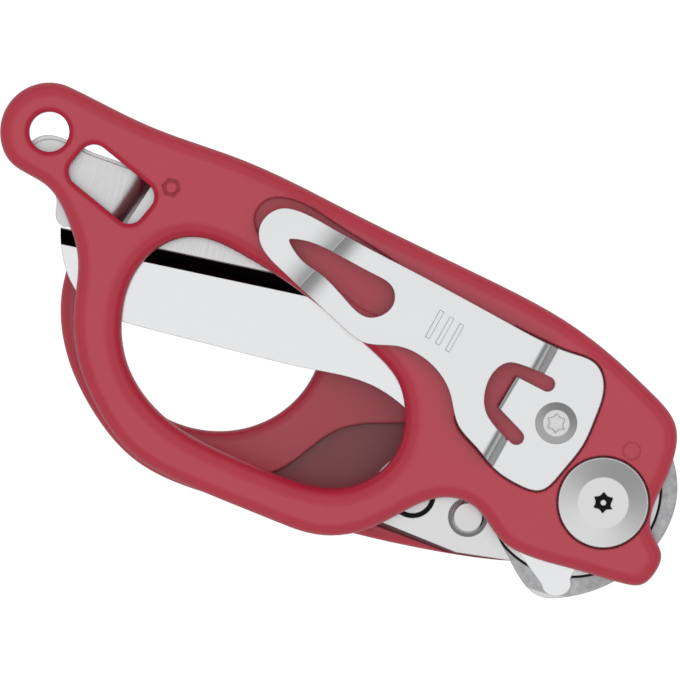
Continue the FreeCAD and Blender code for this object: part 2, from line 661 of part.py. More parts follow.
def rear_blade():
    body = slab("rear_blade_blank", rear_blade_outline(), "blade_thick", REAR_BLADE_Z)
    hole(body, "rear_blade_bore", Vector(), "pivot_rad + run_gap", "blade_thick",
         REAR_BLADE_Z + " + blade_thick")
    wedge = bevel("rear_grind", REAR_EDGE_TIP, REAR_EDGE_HEEL, number(REAR_BLADE_Z),
                  size("blade_thick"), False)
    ground = cut("rear_blade_ground", body, wedge)
    pad_runs = [(-98.0, 0.6), (-102.8, -0.1), (-105.8, -1.6), (-106.6, -3.7), (-105.0, -5.6),
                (-101.4, -6.4), (-98.5, -7.7)]
    crest = [(-98.5, -7.7), (-96.4, -9.4), (-84.0, -4.0), (-84.0, 4.2), (-98.0, 0.6)]
    edges = [smooth([station(*p) for p in pad_runs])] + chain([station(*p) for p in crest])
    raised = slab("tip_pad_block", edges, "pad_rise", REAR_BLADE_Z + " + blade_thick")
    side = new_body("tip_pad_side")
    pad(side, "tip_pad_profile", tip_pad_profile(), str(WIDE), role="XZ_Plane", midplane=True)
    tip_pad = common("tip_pad", raised, side)
    return keep(fuse("rear_blade", ground, tip_pad), "rear_blade")


def tip_pad_profile():
    """Side view of the tip pad: level, then an arc that steepens down to the blade."""
    low = number(REAR_BLADE_Z + " + blade_thick")
    rise, run = size("pad_rise"), size("pad_ramp")
    left, start = station(-NOMINAL_REACH, 0).x - size("tail_rad"), station(PAD_CREST, 0).x
    turn = 2 * atan2(rise, run)
    rad = run / sin(turn)
    crest, foot = Vector(start, low + rise, 0), Vector(start + run, low, 0)
    middle = Vector(start + rad * sin(turn / 2), low + rise - rad * (1 - cos(turn / 2)), 0)
    ends = [foot, Vector(left, low, 0), Vector(left, low + rise, 0), crest]
    return [Part.Arc(crest, middle, foot)] + chain(ends)


# ---------------------------------------------------------------- pivot
def pivot_screw():
    seat = TOP_Z + " - disc_sunk"
    rim = "disc_thick - disc_slope"
    head = cylinder("head_rim", "disc_rad", rim, base=seat)
    dome = cone("head_cone", "disc_rad - disc_edge", "disc_flat_rad", "disc_slope", base=seat + " + " + rim)
    shank = cylinder("pivot_shank", "pivot_rad", TOP_Z + " - disc_sunk - shank_short",
                     base="shank_short")
    blank = fuse("pivot_blank", head, dome, shank)
    height = seat + " + disc_thick"
    socket = slab("pivot_socket", star_edges(Vector(), size("star_rad") + size("star_extra")), "star_deep",
                  height + " - star_deep")
    pin = cylinder("pivot_socket_pin", "star_pin_rad", "star_deep - star_pin_drop", base=height + " - star_deep")
    return keep(fuse("pivot_screw", cut("pivot_cut", blank, socket), pin), "pivot_screw")


def pivot_nut():
    low = "nut_sunk - nut_thick - run_gap"
    flange = cylinder("nut_flange", "nut_rad", "nut_thick", base=low)
    bore = cylinder("nut_bore", "pivot_rad + seat_gap", "nut_thick", base=low)
    blank = cut("nut_blank", flange, bore)
    slots = fuse("nut_slots", *[
        cylinder(f"nut_slot_{step}", "nut_slot_rad", "nut_slot_deep", polar(size("nut_slot_far"), 90 * step),
                 low) for step in range(4)])
    return keep(cut("pivot_nut", blank, slots), "pivot_nut")


def ring(label, rad, bore, height, base, centre=None):
    outer = cylinder(label + "_outer", rad, height, centre, base)
    inner = cylinder(label + "_inner", bore, height, centre, base)
    return cut(label, outer, inner)


def washer(label, base):
    return keep(ring(label, "washer_rad", "pivot_rad + run_gap", "washer_thick", base), label)


# ---------------------------------------------------------------- lock parts
def side_label(front, name):
    return ("front_" if front else "rear_") + name


def flip(thing, front):
    """Turn a finished piece over into the front handle."""
    if front:
        thing.Placement = FLIP.multiply(thing.Placement)
    return thing


def lock_plate(front):
    name = side_label(front, "lock_plate")
    body = slab(name, plate_outline(), "plate_thick", "handle_thick - plate_thick")
    hole(body, name + "_bore", Vector(), "pivot_rad + run_gap", "plate_thick", "handle_thick")
    hole(body, name + "_button_hole", REAR_BUTTON, "button_hole_rad", "plate_thick", "handle_thick")
    hole(body, name + "_screw_hole", REAR_SCREW, "thread_rad + thread_gap", "plate_thick", "handle_thick")
    hole(body, name + "_ring", REAR_SCREW, "plate_ring_rad", "plate_head_thick", "handle_thick")
    return keep(flip(body, front), name)


def lock_button(front):
    name = side_label(front, "lock_button")
    under = "handle_thick - plate_thick - flange_thick - seat_gap"
    flange = cylinder(name + "_flange", "flange_rad", "flange_thick", REAR_BUTTON, under)
    reach = "flange_thick + seat_gap + plate_thick + button_proud - crown"
    stem = cylinder(name + "_stem", "button_rad", reach, REAR_BUTTON, under)
    crown = cone(name + "_crown", "button_rad", "button_rad - crown", "crown", REAR_BUTTON,
                 under + " + " + reach)
    return keep(flip(fuse(name, flange, stem, crown), front), name)


def lock_spring(front):
    """A round-wire coil between the well's floor and the button's flange."""
    name = side_label(front, "lock_spring")
    low = size("well_floor") + size("wire_rad") + size("seat_gap")
    high = number("handle_thick - plate_thick - flange_thick - seat_gap - wire_rad - seat_gap")
    helix = Part.makeHelix((high - low) / size("coil_turns"), high - low, size("coil_rad"))
    section = Part.Wire(Part.makeCircle(size("wire_rad"), Vector(size("coil_rad"), 0, 0), Vector(0, 1, 0)))
    coil = Part.Wire(helix.Edges).makePipeShell([section], True, True)
    spring = doc.addObject("Part::Feature", name)
    spring.Shape = coil
    spring.Placement.Base = Vector(REAR_BUTTON.x, REAR_BUTTON.y, low)
    return keep(flip(spring, front), name)


def plate_screw(front):
    name = side_label(front, "plate_screw")
    seat = "handle_thick - plate_head_thick"
    head = cylinder(name + "_head", "plate_head_rad", "plate_head_thick", REAR_SCREW, seat)
    shank = cylinder(name + "_shank", "thread_rad", "plate_screw_long", REAR_SCREW,
                     seat + " - plate_screw_long")
    return keep(flip(fuse(name, head, shank), front), name)


def insert(label, centre, top):
    """A brass insert moulded in below a seat."""
    height = "insert_long - insert_low"
    return ring(label, "insert_rad", "thread_rad + seat_gap", height, top + " - insert_long + insert_low",
                centre)


def plate_insert(front):
    name = side_label(front, "plate_insert")
    return keep(flip(insert(name, REAR_SCREW, "handle_thick - plate_thick"), front), name)


def pivot_bush(front):
    name = side_label(front, "pivot_bush")
    sunk = "disc_sunk" if front else "nut_sunk"
    height = "handle_thick - plate_thick - " + sunk
    return keep(flip(ring(name, "bush_rad", "pivot_rad + run_gap", height, sunk), front), name)


# ---------------------------------------------------------------- pocket clip
def strip(name, edges, turn, folds=()):
    """A strip with a side view, turned in the plan. Each fold is a point of the view and a radius."""
    body = new_body(name)
    pad(body, name + "_pad", edges, str(WIDE), role="XZ_Plane", midplane=True)
    for index, (x, z, rad) in enumerate(folds):
        for number_of, edge in enumerate(body.Shape.Edges, start=1):
            middle = edge.BoundBox.Center
            if edge.BoundBox.YLength > WIDE / 2 and hypot(middle.x - x, middle.z - z) < NEAR:
                fold = f"Edge{number_of}"
        round_edges(body, f"{name}_fold_{index}", [fold], rad)
    body.Placement.Rotation = FreeCAD.Rotation(Vector(0, 0, 1), turn)
    return body


def clip_step():
    """The clip's base, its step up and the level arm, with every fold rounded."""
    thick, lift, low = size("clip_thick"), size("clip_lift"), number(TOP_Z + " - clip_sunk")
    foot, head = -size("step_foot"), -size("step_foot") - size("step_run")
    shift = thick * tan(atan2(lift, foot - head) / 2)
    under = [(0.0, low), (foot - shift, low), (head - shift, low + lift), (ARM_SPLIT - 3, low + lift)]
    over = [(ARM_SPLIT - 3, low + lift + thick), (head, low + lift + thick), (foot, low + thick),
            (0.0, low + thick)]
    folds = [(*over[1], "clip_thick + clip_thick"), (*under[2], "clip_thick"),
             (*over[2], "fold_inner"), (*under[1], "clip_thick")]
    view = closed_chain([Vector(x, z, 0) for x, z in under + over])
    return strip("clip_step", view, size("clip_turn"), folds)


def clip_tip():
    """The arm's end: level, an arc down to the crease, an arc up from it and a straight tip."""
    level = number(TOP_Z + " - clip_sunk + clip_lift")
    crease, touch = -size("crease_far"), number(TOP_Z + " + clip_touch")
    fall, rise = size("crease_fall"), size("crease_rise")
    turn = 2 * atan2(level - touch, fall)
    fall_rad = fall / sin(turn)
    steep, flat = radians(size("tip_steep")), radians(size("tip_flat"))
    rise_rad = rise / (sin(steep) - sin(flat))

    def falling(angle):
        return (crease + fall - fall_rad * sin(angle), level - fall_rad * (1 - cos(angle)))

    def rising(angle):
        return (crease - rise_rad * (sin(steep) - sin(angle)), touch + rise_rad * (cos(angle) - cos(steep)))

    far = -size("crease_far") - WIDE / 3
    last = rising(flat)
    tip = (far, last[1] + (last[0] - far) * tan(flat))

    def run(lift):
        """The same side view lifted by a height."""
        points = [(ARM_SPLIT + 3, level), falling(0), falling(turn / 2), falling(turn),
                  rising((steep + flat) / 2), last, tip]
        start, top, slope, low, bend, end, nose = (Vector(x, z + lift, 0) for x, z in points)
        return [Part.LineSegment(start, top), Part.Arc(top, slope, low), Part.Arc(low, bend, end),
                Part.LineSegment(end, nose)]

    under, over = run(0), run(size("clip_thick"))
    ends = [Part.LineSegment(under[0].StartPoint, over[0].StartPoint),
            Part.LineSegment(under[-1].EndPoint, over[-1].EndPoint)]
    return strip("clip_tip", under + over + ends, -size("crease_turn"))


def clip_bars():
    """Three short engraved bars on the arm."""
    turn = FreeCAD.Rotation(Vector(0, 0, 1), size("clip_turn"))
    half, wide = size("bar_long") / 2, size("bar_wide") / 2
    corners = [(wide, half), (-wide, half), (-wide, -half), (wide, -half)]
    bars = []
    for step in (-1, 0, 1):
        middle = Vector(BARS_MIDDLE[0] + size("bar_step") * step, BARS_MIDDLE[1], 0)
        edges = closed_chain([middle + turn.multVec(Vector(x, y, 0)) for x, y in corners])
        bars.append(slab(f"clip_bar_{step + 1}", edges, "engraved + engraved",
                         TOP_Z + " - clip_sunk + clip_lift + clip_thick - engraved"))
    return bars


def pocket_clip():
    """Spring steel strip: sunk base with a tongue, step up, level arm, crease and raised tip."""
    blank = slab("clip_blank", [smooth_loop([Vector(x, y, 0) for x, y in clip_outline()])],
                 str(WIDE / 2), "handle_thick")
    shaped = common("clip_shaped", fuse("clip_strip", clip_step(), clip_tip()), blank)
    window = slab("clip_window_cutter", clip_window(), str(WIDE / 2), "handle_thick")
    slot = slab("clip_slot_cutter", clip_slot(), str(WIDE / 2), "handle_thick")
    open_clip = cut("clip_open", shaped, fuse("clip_cutters", window, slot, *clip_bars()))
    tongue = slab("clip_tongue", clip_tongue(), "clip_thick", TOP_Z + " - clip_sunk")
    tops = edges_at(tongue.Shape, number(TOP_Z + " - clip_sunk + clip_thick"), 5.0, 5.7)
    round_edges(tongue, "tongue_bend", tops, "tongue_round")
    joined = fuse("clip_joined", open_clip, tongue)
    centre = Vector(size("clip_screw_x"), size("clip_screw_y"), 0)
    drill = cylinder("clip_drill", "thread_rad + thread_gap", "clip_thick", centre, TOP_Z + " - clip_sunk")
    return keep(cut("pocket_clip", joined, drill), "pocket_clip")


def clip_screw():
    centre = Vector(size("clip_screw_x"), size("clip_screw_y"), 0)
    seat = TOP_Z + " - clip_sunk + clip_thick"
    rim = cylinder("clip_screw_rim", "clip_head_rad", "clip_head_thick - clip_dome", centre, seat)
    dome = cone("clip_screw_dome", "clip_head_rad", "clip_head_rad - clip_dome_run", "clip_dome", centre,
                seat + " + clip_head_thick - clip_dome")
    shank = cylinder("clip_screw_shank", "thread_rad", "clip_screw_long", centre, seat + " - clip_screw_long")
    socket = slab("clip_screw_socket", star_edges(centre, size("star_rad")), "star_deep",
                  seat + " + clip_head_thick - star_deep")
    blank = fuse("clip_screw_blank", rim, dome, shank)
    return keep(cut("clip_screw", blank, socket), "clip_screw")


def clip_insert():
    centre = Vector(size("clip_screw_x"), size("clip_screw_y"), 0)
    return keep(insert("clip_insert", centre, TOP_Z + " - clip_sunk"), "clip_insert")


# ---------------------------------------------------------------- build
front_handle()
rear_handle()
front_blade()
rear_blade()
pivot_screw()
pivot_nut()
washer("rear_washer", "handle_thick")
washer("front_washer", FRONT_Z + " - washer_thick")
for in_front in (False, True):
    lock_plate(in_front)
    lock_button(in_front)
    lock_spring(in_front)
    plate_screw(in_front)
    plate_insert(in_front)
    pivot_bush(in_front)
pocket_clip()
clip_screw()
clip_insert()
doc.recompute()

# ---------------------------------------------------------------- check and write
for thing in doc.Objects:
    if "Invalid" in thing.State or "Error" in thing.State:
        raise RuntimeError(thing.Name + " failed: " + str(thing.State))
os.makedirs("parts", exist_ok=True)
for node in NODES:
    if node.Shape.isNull() or not node.Shape.isValid() or not node.Shape.Solids:
        raise RuntimeError(node.Label + " has no valid solid")
    print(node.Label, len(node.Shape.Solids), round(node.Shape.Volume, 2))
    node.Shape.exportStep(os.path.join("parts", node.Label + ".step"))
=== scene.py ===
# %% [markdown]
# Folding rescue shears, folded flat: how the looks are made around a fixed engineering model. Every
# node keeps its place and its shape, and gets a finish made of nodes, with masks in real millimetres
# where one piece carries more than one finish.

# %% Load the frame
from math import cos, radians, sin

import bpy
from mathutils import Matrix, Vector


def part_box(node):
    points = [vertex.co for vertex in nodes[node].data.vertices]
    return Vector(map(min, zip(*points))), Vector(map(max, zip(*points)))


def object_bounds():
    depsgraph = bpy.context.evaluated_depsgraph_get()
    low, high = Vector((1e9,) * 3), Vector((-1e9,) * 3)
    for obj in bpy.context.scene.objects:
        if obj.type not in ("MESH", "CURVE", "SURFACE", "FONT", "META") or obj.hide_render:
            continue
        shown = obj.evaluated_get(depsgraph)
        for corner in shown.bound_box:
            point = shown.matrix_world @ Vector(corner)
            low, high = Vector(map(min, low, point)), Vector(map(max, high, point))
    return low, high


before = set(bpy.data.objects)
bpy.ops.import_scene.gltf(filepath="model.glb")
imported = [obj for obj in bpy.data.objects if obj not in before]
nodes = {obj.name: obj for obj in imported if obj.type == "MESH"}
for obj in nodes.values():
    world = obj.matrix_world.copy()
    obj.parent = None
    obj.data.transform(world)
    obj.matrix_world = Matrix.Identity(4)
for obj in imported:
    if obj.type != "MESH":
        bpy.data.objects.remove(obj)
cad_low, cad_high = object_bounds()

MM = 0.001
print("nodes:", len(nodes), "size:", [round(v / MM, 1) for v in (cad_high - cad_low)])

# %% [markdown]
# The camera looks straight down on the clip's side of the folded tool. A long lens keeps the outline
# nearly parallel. The tool lies across the view, so the camera is rolled about its own line of sight
# instead of turning the model.

# %% Camera
ROLL = radians(33.8)
FIELD_WIDE = 107.65 * MM
LENS, SENSOR = 1000.0, 36.0
AIM_X, AIM_Y = -48.97 * MM, -1.79 * MM
aim = Vector((AIM_X, AIM_Y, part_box("front_handle")[1].z))
distance = FIELD_WIDE * LENS / SENSOR

camera = bpy.data.objects.new("camera", bpy.data.cameras.new("camera"))
bpy.context.scene.collection.objects.link(camera)
camera.data.lens = LENS
camera.data.sensor_width = SENSOR
camera.data.clip_start = 0.01
camera.location = aim + Vector((0, 0, distance))
camera.rotation_euler = (0, 0, ROLL)
bpy.context.scene.camera = camera
print("camera height", round(camera.location.z, 3), "m")

# %% [markdown]
# Polished steel shows what stands round it, and moulded nylon shows how evenly it is lit, so the world
# answers the two kinds of ray differently. Diffuse rays find a pale dome, brighter overhead than at the
# horizon, so that edges which face sideways keep a deeper red. Glossy rays find a bright patch overhead
# that leans to the lower left of the view and falls through grey towards the horizon: level steel turns
# white, and whatever tilts turns grey. The world isn't sampled as a lamp, because such samples don't say
# which kind of ray they stand for.

# %% Studio world
PATCH_LEAN, PATCH_SIDE = radians(9.0), 0.5
# Degrees from the middle of the patch, and the grey seen there.
PATCH_GREYS = ((0, 0.95), (13, 0.88), (27, 0.34), (40, 0.20), (58, 0.46), (72, 0.52), (84, 0.10),
               (90, 0.30))
DOME_HORIZON, DOME_RISE = 0.60, 0.90

scene = bpy.context.scene
scene.view_settings.view_transform = "Standard"
right = Vector((cos(ROLL), sin(ROLL), 0))
up = Vector((-sin(ROLL), cos(ROLL), 0))
patch = Vector((0, 0, cos(PATCH_LEAN))) - (right * PATCH_SIDE + up).normalized() * sin(PATCH_LEAN)

world = bpy.data.worlds.new("studio")
scene.world = world
world.use_nodes = True
world.cycles.sampling_method = "NONE"
tree = world.node_tree
tree.nodes.clear()
where = tree.nodes.new("ShaderNodeTexCoord")
lean = tree.nodes.new("ShaderNodeVectorMath")
lean.operation = "DOT_PRODUCT"
lean.inputs[1].default_value = patch
ramp = tree.nodes.new("ShaderNodeValToRGB")
stops = ramp.color_ramp.elements
while len(stops) < len(PATCH_GREYS):
    stops.new(0.5)
for stop, (angle, grey) in zip(stops, reversed(PATCH_GREYS)):
    stop.position = cos(radians(angle))
    stop.color = (grey, grey, grey, 1)
split = tree.nodes.new("ShaderNodeSeparateXYZ")
dome = tree.nodes.new("ShaderNodeMath")
dome.operation = "MULTIPLY_ADD"
dome.inputs[1].default_value = DOME_RISE
dome.inputs[2].default_value = DOME_HORIZON
ray = tree.nodes.new("ShaderNodeLightPath")
seen = tree.nodes.new("ShaderNodeMix")
seen.data_type = "RGBA"
shades = {socket.name: socket for socket in seen.inputs if socket.type == "RGBA"}
sky = tree.nodes.new("ShaderNodeBackground")
out = tree.nodes.new("ShaderNodeOutputWorld")
for source, target in (
        (where.outputs["Generated"], lean.inputs[0]),
        (lean.outputs["Value"], ramp.inputs["Fac"]),
        (where.outputs["Generated"], split.inputs[0]),
        (split.outputs["Z"], dome.inputs[0]),
        (dome.outputs[0], shades["A"]),
        (ramp.outputs["Color"], shades["B"]),
        (ray.outputs["Is Glossy Ray"], seen.inputs["Factor"]),
        (next(socket for socket in seen.outputs if socket.type == "RGBA"), sky.inputs["Color"]),
        (sky.outputs[0], out.inputs["Surface"])):
    tree.links.new(source, target)
print("patch", [round(v, 2) for v in patch])

# %% [markdown]
# A table that glows white gives the pale ground. It is so large that the long lens never sees past it.
# It glows less towards the object than towards the camera, so it doesn't wash the colours out. Seen
# from below it isn't there, so the underside can be looked at as well.

# %% Table
TABLE_WIDE, TABLE_DROP = 12.0, 0.05 * MM
GLOW_BACK = 0.45
level, half = cad_low.z - TABLE_DROP, TABLE_WIDE / 2
corners = [(-half, -half, level), (half, -half, level), (half, half, level), (-half, half, level)]
sheet = bpy.data.meshes.new("table")
sheet.from_pydata(corners, [], [(0, 1, 2, 3)])
table = bpy.data.objects.new("table", sheet)
scene.collection.objects.link(table)

paper = bpy.data.materials.new("table_paper")
paper.use_nodes = True
tree = paper.node_tree
shader = tree.nodes["Principled BSDF"]
shader.inputs["Base Color"].default_value = (0.05, 0.05, 0.05, 1)
shader.inputs["Roughness"].default_value = 0.9
shader.inputs["Specular IOR Level"].default_value = 0.0
shader.inputs["Emission Color"].default_value = (1, 1, 1, 1)
glow = tree.nodes.new("ShaderNodeMath")
glow.operation = "MULTIPLY_ADD"
glow.inputs[1].default_value = 1.0 - GLOW_BACK
glow.inputs[2].default_value = GLOW_BACK
ray = tree.nodes.new("ShaderNodeLightPath")
clear = tree.nodes.new("ShaderNodeBsdfTransparent")
side = tree.nodes.new("ShaderNodeNewGeometry")
both = tree.nodes.new("ShaderNodeMixShader")
for source, target in (
        (ray.outputs["Is Camera Ray"], glow.inputs[0]),
        (glow.outputs[0], shader.inputs["Emission Strength"]),
        (side.outputs["Backfacing"], both.inputs["Fac"]),
        (shader.outputs[0], both.inputs[1]),
        (clear.outputs[0], both.inputs[2]),
        (both.outputs[0], tree.nodes["Material Output"].inputs["Surface"])):
    tree.links.new(source, target)
table.data.materials.append(paper)
print("table", TABLE_WIDE, "m at", round(level / MM, 2), "mm")

# %% [markdown]
# Effects that several finishes share are node groups. Each group puts out masks or heights, and the
# shader itself stays in the material. They all read Object coordinates, so a pattern has a real size.
# First come three helpers: an empty group, one Math node, and a smooth step between two values.


# %% Group helpers
def new_group(name, inputs, outputs):
    """An empty shader group with float or vector sockets."""
    group = bpy.data.node_groups.new(name, "ShaderNodeTree")
    kinds = {"float": "NodeSocketFloat", "vector": "NodeSocketVector"}
    for label, kind, value in inputs:
        socket = group.interface.new_socket(label, in_out="INPUT", socket_type=kinds[kind])
        socket.default_value = value
    for label, kind in outputs:
        group.interface.new_socket(label, in_out="OUTPUT", socket_type=kinds[kind])
    return group, group.nodes.new("NodeGroupInput"), group.nodes.new("NodeGroupOutput")


def math_node(group, operation, *operands):
    """One Math node; each operand is a socket or a number."""
    node = group.nodes.new("ShaderNodeMath")
    node.operation = operation
    for slot, operand in enumerate(operands):
        if isinstance(operand, (int, float)):
            node.inputs[slot].default_value = operand
        else:
            group.links.new(operand, node.inputs[slot])
    return node.outputs[0]


def ramp_between(group, value, low, high):
    """0 below low, 1 above high, smooth between. low may be above high."""
    node = group.nodes.new("ShaderNodeMapRange")
    node.interpolation_type = "SMOOTHSTEP"
    group.links.new(value, node.inputs["Value"])
    node.inputs["From Min"].default_value = min(low, high)
    node.inputs["From Max"].default_value = max(low, high)
    node.inputs["To Min"].default_value = 0.0 if low < high else 1.0
    node.inputs["To Max"].default_value = 1.0 if low < high else 0.0
    return node.outputs["Result"]


# %% [markdown]
# Edges that hands rub are found by rounding the surface's normal. Where the rounded normal n and the
# true one m differ, the point lies near an edge: the mask rises as n . m falls from 0.995 to 0.80. Slow
# noise breaks the mask up, so the wear isn't an even line.


# %% Edge group
def edge_group():
    """Mask of convex edges: how far a rounded normal leans away from the true one."""
    group, given, result = new_group(
        "worn_edges", [("Radius", "float", 0.0004), ("Break", "float", 0.5)],
        [("Mask", "float"), ("Normal", "vector")])
    rounded = group.nodes.new("ShaderNodeBevel")
    rounded.samples = 4
    true = group.nodes.new("ShaderNodeNewGeometry")
    dot = group.nodes.new("ShaderNodeVectorMath")
    dot.operation = "DOT_PRODUCT"
    group.links.new(given.outputs["Radius"], rounded.inputs["Radius"])
    group.links.new(rounded.outputs["Normal"], dot.inputs[0])
    group.links.new(true.outputs["Normal"], dot.inputs[1])
    lean = ramp_between(group, dot.outputs["Value"], 0.995, 0.80)
    place = group.nodes.new("ShaderNodeTexCoord")
    noise = group.nodes.new("ShaderNodeTexNoise")
    noise.inputs["Scale"].default_value = 420.0
    noise.inputs["Detail"].default_value = 4.0
    group.links.new(place.outputs["Object"], noise.inputs["Vector"])
    broken = ramp_between(group, noise.outputs["Fac"], 0.35, 0.65)
    kept = math_node(group, "MULTIPLY", broken, given.outputs["Break"])
    part = math_node(group, "SUBTRACT", 1.0, kept)
    group.links.new(math_node(group, "MULTIPLY", lean, part), result.inputs["Mask"])
    group.links.new(rounded.outputs["Normal"], result.inputs["Normal"])
    return group


# %% [markdown]
# Four more patterns: the fine skin of a moulding, streaks from a grinding belt, rings from a lathe, and
# a mask of level faces in a range of heights, for painted shade on the floor of a recess. The lathe group
# also gives the distance from its axis, r = |(x - cx, y - cy)|, which serves as a mask for rims, and for
# painted shade in sockets and rings.


# %% Pattern groups
def grain_group():
    """Fine and coarse mottling of a surface, as a height and a slow variation."""
    group, given, result = new_group(
        "surface_grain", [("Fine Scale", "float", 3000.0), ("Slow Scale", "float", 60.0)],
        [("Height", "float"), ("Slow", "float")])
    place = group.nodes.new("ShaderNodeTexCoord")
    for label, detail, socket in (("Fine Scale", 3.0, "Height"), ("Slow Scale", 2.0, "Slow")):
        noise = group.nodes.new("ShaderNodeTexNoise")
        noise.inputs["Detail"].default_value = detail
        group.links.new(place.outputs["Object"], noise.inputs["Vector"])
        group.links.new(given.outputs[label], noise.inputs["Scale"])
        group.links.new(noise.outputs["Fac"], result.inputs[socket])
    return group


def brushed_group():
    """Streaks left by a belt: noise stretched along one direction of the plan."""
    group, given, result = new_group(
        "brushed_streaks",
        [("Angle", "vector", (0, 0, 0)), ("Stretch", "vector", (60, 4000, 60))],
        [("Height", "float")])
    place = group.nodes.new("ShaderNodeTexCoord")
    turn = group.nodes.new("ShaderNodeMapping")
    turn.vector_type = "POINT"
    group.links.new(place.outputs["Object"], turn.inputs["Vector"])
    group.links.new(given.outputs["Angle"], turn.inputs["Rotation"])
    stretch = group.nodes.new("ShaderNodeVectorMath")
    stretch.operation = "MULTIPLY"
    group.links.new(turn.outputs["Vector"], stretch.inputs[0])
    group.links.new(given.outputs["Stretch"], stretch.inputs[1])
    noise = group.nodes.new("ShaderNodeTexNoise")
    noise.inputs["Scale"].default_value = 1.0
    noise.inputs["Detail"].default_value = 3.0
    group.links.new(stretch.outputs[0], noise.inputs["Vector"])
    group.links.new(noise.outputs["Fac"], result.inputs["Height"])
    return group


def turned_group():
    """Rings left by a lathe round a vertical axis."""
    group, given, result = new_group(
        "turned_rings", [("Centre", "vector", (0, 0, 0)), ("Pitch", "float", 9000.0)],
        [("Height", "float"), ("Radius", "float")])
    place = group.nodes.new("ShaderNodeTexCoord")
    away = group.nodes.new("ShaderNodeVectorMath")
    away.operation = "SUBTRACT"
    group.links.new(place.outputs["Object"], away.inputs[0])
    group.links.new(given.outputs["Centre"], away.inputs[1])
    flat = group.nodes.new("ShaderNodeVectorMath")
    flat.operation = "MULTIPLY"
    flat.inputs[1].default_value = (1, 1, 0)
    group.links.new(away.outputs[0], flat.inputs[0])
    length = group.nodes.new("ShaderNodeVectorMath")
    length.operation = "LENGTH"
    group.links.new(flat.outputs[0], length.inputs[0])
    noise = group.nodes.new("ShaderNodeTexNoise")
    noise.noise_dimensions = "1D"
    noise.inputs["Scale"].default_value = 1.0
    group.links.new(math_node(group, "MULTIPLY", length.outputs["Value"], given.outputs["Pitch"]),
                    noise.inputs["W"])
    group.links.new(noise.outputs["Fac"], result.inputs["Height"])
    group.links.new(length.outputs["Value"], result.inputs["Radius"])
    return group


def level_group():
    """Mask of level faces that lie between two heights."""
    group, given, result = new_group(
        "level_faces", [("Low", "float", 0.0), ("High", "float", 0.001)], [("Mask", "float")])
    place = group.nodes.new("ShaderNodeTexCoord")
    split = group.nodes.new("ShaderNodeSeparateXYZ")
    group.links.new(place.outputs["Object"], split.inputs[0])
    over = math_node(group, "GREATER_THAN", split.outputs["Z"], given.outputs["Low"])
    under = math_node(group, "LESS_THAN", split.outputs["Z"], given.outputs["High"])
    facing = group.nodes.new("ShaderNodeNewGeometry")
    tilt = group.nodes.new("ShaderNodeSeparateXYZ")
    group.links.new(facing.outputs["Normal"], tilt.inputs[0])
    flat = ramp_between(group, tilt.outputs["Z"], 0.90, 0.99)
    between = math_node(group, "MULTIPLY", over, under)
    group.links.new(math_node(group, "MULTIPLY", between, flat), result.inputs["Mask"])
    return group


GROUPS = {"edges": edge_group(), "grain": grain_group(), "brushed": brushed_group(),
          "turned": turned_group(), "level": level_group()}
print("groups:", sorted(GROUPS))


# %% [markdown]
# Each material starts from one Principled shader with plain values. The helpers below put a shared
# group into it, blend colours by a mask, let the roughness follow a pattern and add a small bump.


# %% Material helpers
def place_group(material, which, **values):
    """Put a shared group into a material and set its inputs."""
    node = material.node_tree.nodes.new("ShaderNodeGroup")
    node.node_tree = GROUPS[which]
    for label, value in values.items():
        node.inputs[label.replace("_", " ")].default_value = value
    return node


def blank_material(name, colour, metallic, roughness):
    """A Principled material with its plain values on the shader's own sockets."""
    material = bpy.data.materials.new(name)
    material.use_nodes = True
    shader = material.node_tree.nodes["Principled BSDF"]
    shader.inputs["Base Color"].default_value = (*colour, 1)
    shader.inputs["Metallic"].default_value = metallic
    shader.inputs["Roughness"].default_value = roughness
    return material, shader


def mix_colours(material, mask, first, second):
    """Blend two colours, or colour sockets, by a mask."""
    node = material.node_tree.nodes.new("ShaderNodeMix")
    node.data_type = "RGBA"
    material.node_tree.links.new(mask, node.inputs["Factor"])
    for label, value in (("A", first), ("B", second)):
        socket = next(s for s in node.inputs if s.name == label and s.type == "RGBA")
        if isinstance(value, tuple):
            socket.default_value = (*value, 1)
        else:
            material.node_tree.links.new(value, socket)
    return next(s for s in node.outputs if s.type == "RGBA")


def vary_roughness(material, shader, pattern, middle, span):
    """Roughness that runs from middle - span / 2 to middle + span / 2 as the pattern runs from 0 to 1."""
    rough = math_node(material.node_tree, "MULTIPLY_ADD", pattern, span, middle - span / 2)
    material.node_tree.links.new(rough, shader.inputs["Roughness"])


def bump(material, shader, height, strength, distance, under):
    """A Bump node over another normal, feeding the shader's normal."""
    node = material.node_tree.nodes.new("ShaderNodeBump")
    node.inputs["Strength"].default_value = strength
    node.inputs["Distance"].default_value = distance
    material.node_tree.links.new(height, node.inputs["Height"])
    material.node_tree.links.new(under, node.inputs["Normal"])
    material.node_tree.links.new(node.outputs["Normal"], shader.inputs["Normal"])


def dress(material, *names):
    """Give CAD nodes a material."""
    for name in names:
        mesh = nodes[name].data
        mesh.materials.clear()
        mesh.materials.append(material)


# %% [markdown]
# The handles are moulded nylon with a satin skin. Flat faces pick up the bright patch as a pale veil,
# and the rounded edges, which look past it, show the deep red. So the colour stays one saturated red,
# and the veil comes from the shader's own gloss. Rubbed edges are a little paler. The floor of the rear
# handle's recess is painted darker, a painted shade for the light that hardly reaches it.

# %% Red nylon
DEEP, BRIGHT = (0.37, 0.007, 0.028), (0.41, 0.009, 0.035)
RUBBED, SHADED = (0.46, 0.02, 0.05), (0.21, 0.008, 0.020)
SKIN_ROUGH, WEAR = 0.33, 0.30
FLOOR_BAND = 0.05 * MM


